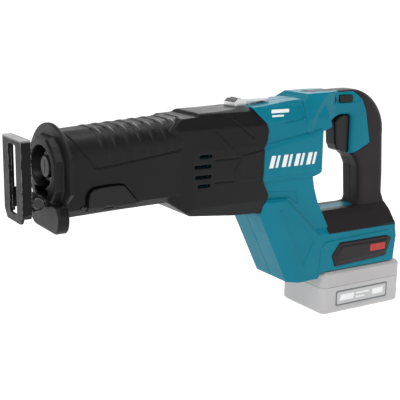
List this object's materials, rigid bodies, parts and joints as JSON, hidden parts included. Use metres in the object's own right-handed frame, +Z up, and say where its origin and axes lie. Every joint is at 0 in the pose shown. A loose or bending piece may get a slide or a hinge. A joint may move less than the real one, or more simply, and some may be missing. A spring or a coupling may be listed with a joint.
{
  "type": "reciprocating saw",
  "caption": "Cordless reciprocating saw with D-handle, hand-guard boot, blade clamp, pivoting shoe, hook and slide-on battery.",
  "frame": {"origin": "where the spindle axis meets the shoe's work face", "axes": "+X from the work face to the handle along the spindle, +Y to the tool's right side, +Z up"},
  "size_m": [0.461, 0.1, 0.2513],
  "materials": {
    "housing_plastic": "fine moulded grain",
    "soft_grip": "fine textured",
    "boot_rubber": "fine textured",
    "bumper_rubber": "smooth",
    "case_aluminium": "cast",
    "hard_steel": "ground",
    "black_steel": "satin black with worn edges",
    "bright_steel": "plated",
    "screw_steel": "blackened",
    "bronze": "sintered",
    "seal_rubber": "smooth",
    "lamination": "stacked sheets",
    "copper": "enamelled wire",
    "magnet": "nickel plated",
    "black_plastic": "fine moulded grain",
    "trigger_plastic": "smooth",
    "battery_plastic": "fine moulded grain",
    "battery_dark": "fine moulded grain",
    "board": "lacquered",
    "cell_wrap": "shrink sleeve",
    "spring_steel": "drawn wire"
  },
  "bodies": {
    "housing": {"housing_left": "housing_plastic", "housing_right": "housing_plastic", "handle_rubber_left": "soft_grip", "handle_rubber_right": "soft_grip", "foot_bumper_left": "bumper_rubber", "foot_bumper_right": "bumper_rubber", "housing_screws": "screw_steel", "gear_case": "case_aluminium", "gear_case_cover": "case_aluminium", "gear_case_screws": "screw_steel", "plunger_bush": "bronze", "plunger_seal": "seal_rubber", "crank_bearing": "hard_steel", "motor_bearing_front": "hard_steel", "motor_bearing_rear": "hard_steel", "motor_stator": "lamination", "stator_windings": "copper", "boot": "boot_rubber", "lever_pin": "hard_steel", "hook_bracket": "bright_steel", "controller_board": "black_plastic", "terminal_block": "black_plastic", "trigger_switch": "black_plastic", "shoe_button_spring": "spring_steel", "trigger_spring": "spring_steel", "lock_off_spring": "spring_steel"},
    "spindle": {"plunger": "hard_steel", "yoke": "hard_steel", "blade_clamp": "hard_steel", "clamp_pin": "hard_steel"},
    "sleeve": {"clamp_sleeve": "black_steel"},
    "crank": {"crank_gear": "hard_steel", "crank_pin": "hard_steel", "crank_roller": "hard_steel"},
    "rotor": {"rotor_shaft": "hard_steel", "rotor_core": "lamination", "rotor_magnets": "magnet", "fan": "black_plastic"},
    "lever": {"blade_lever": "black_plastic"},
    "bracket": {"shoe_bracket": "black_steel"},
    "shoe": {"shoe": "black_steel", "shoe_pivot_pin": "black_steel"},
    "release_button": {"shoe_release_button": "black_plastic"},
    "trigger": {"trigger": "trigger_plastic"},
    "lock_off": {"lock_off_button": "black_plastic"},
    "hook": {"hook": "bright_steel"},
    "battery": {"battery_case_lower": "battery_plastic", "battery_case_upper": "battery_dark", "battery_cells": "cell_wrap", "battery_board": "board", "battery_terminals": "copper", "battery_screws": "screw_steel", "latch_spring": "spring_steel"},
    "latch": {"battery_latch": "black_plastic"}
  },
  "joints": [
    {"name": "crank_turn", "type": "hinge", "parent": "housing", "child": "crank", "pos_m": [0.132, 0, 0], "axis": [0, 0, 1], "range_deg": [-67.5, 112.5]},
    {"name": "spindle_stroke", "type": "slide", "parent": "housing", "child": "spindle", "axis": [-1, 0, 0], "range_m": [-0.012, 0.02]},
    {"name": "rotor_turn", "type": "hinge", "parent": "housing", "child": "rotor", "pos_m": [0.16, 0, -0.023], "axis": [1, 0, 0], "range_deg": [-380, 228]},
    {"name": "blade_lever_swing", "type": "hinge", "parent": "housing", "child": "lever", "pos_m": [0.08, -0.032, -0.0365], "axis": [1, 0, 0], "range_deg": [0, 60], "stiffness_Nm_per_rad": 0.15, "springref_deg": -20.05},
    {"name": "clamp_sleeve_turn", "type": "hinge", "parent": "spindle", "child": "sleeve", "pos_m": [0.044, 0, 0], "axis": [1, 0, 0], "range_deg": [0, 61]},
    {"name": "shoe_reach", "type": "slide", "parent": "housing", "child": "bracket", "axis": [-1, 0, 0], "range_m": [0, 0.03]},
    {"name": "shoe_tilt", "type": "hinge", "parent": "bracket", "child": "shoe", "pos_m": [0.017, 0, -0.0303], "axis": [0, 1, 0], "range_deg": [-10, 10]},
    {"name": "shoe_button_press", "type": "slide", "parent": "housing", "child": "release_button", "axis": [0, 0, 1], "range_m": [0, 0.0025], "stiffness_N_per_m": 1000, "springref_m": -0.002, "deforming": ["shoe_button_spring"]},
    {"name": "trigger_pull", "type": "slide", "parent": "housing", "child": "trigger", "axis": [1, 0, 0], "range_m": [0, 0.007], "stiffness_N_per_m": 1000, "springref_m": -0.003, "deforming": ["trigger_spring"]},
    {"name": "lock_off_press", "type": "slide", "parent": "housing", "child": "lock_off", "axis": [0, 1, 0], "range_m": [-0.004, 0.004], "stiffness_N_per_m": 600},
    {"name": "hook_fold", "type": "hinge", "parent": "housing", "child": "hook", "pos_m": [0.246, 0, 0.0524], "axis": [0, -1, 0], "range_deg": [0, 90]},
    {"name": "battery_slide", "type": "slide", "parent": "housing", "child": "battery", "axis": [1, 0, 0], "range_m": [0, 0.12]},
    {"name": "latch_press", "type": "slide", "parent": "battery", "child": "latch", "axis": [-1, 0, 0], "range_m": [0, 0.003], "stiffness_N_per_m": 1000, "springref_m": -0.003, "deforming": ["latch_spring"]}
  ],
  "couplings": [
    {"joint": "spindle_stroke", "follows": "crank_turn", "m_per_rad": 0.010185},
    {"joint": "rotor_turn", "follows": "crank_turn", "ratio": -3.375},
    {"joint": "clamp_sleeve_turn", "follows": "blade_lever_swing", "ratio": 1}
  ]
}
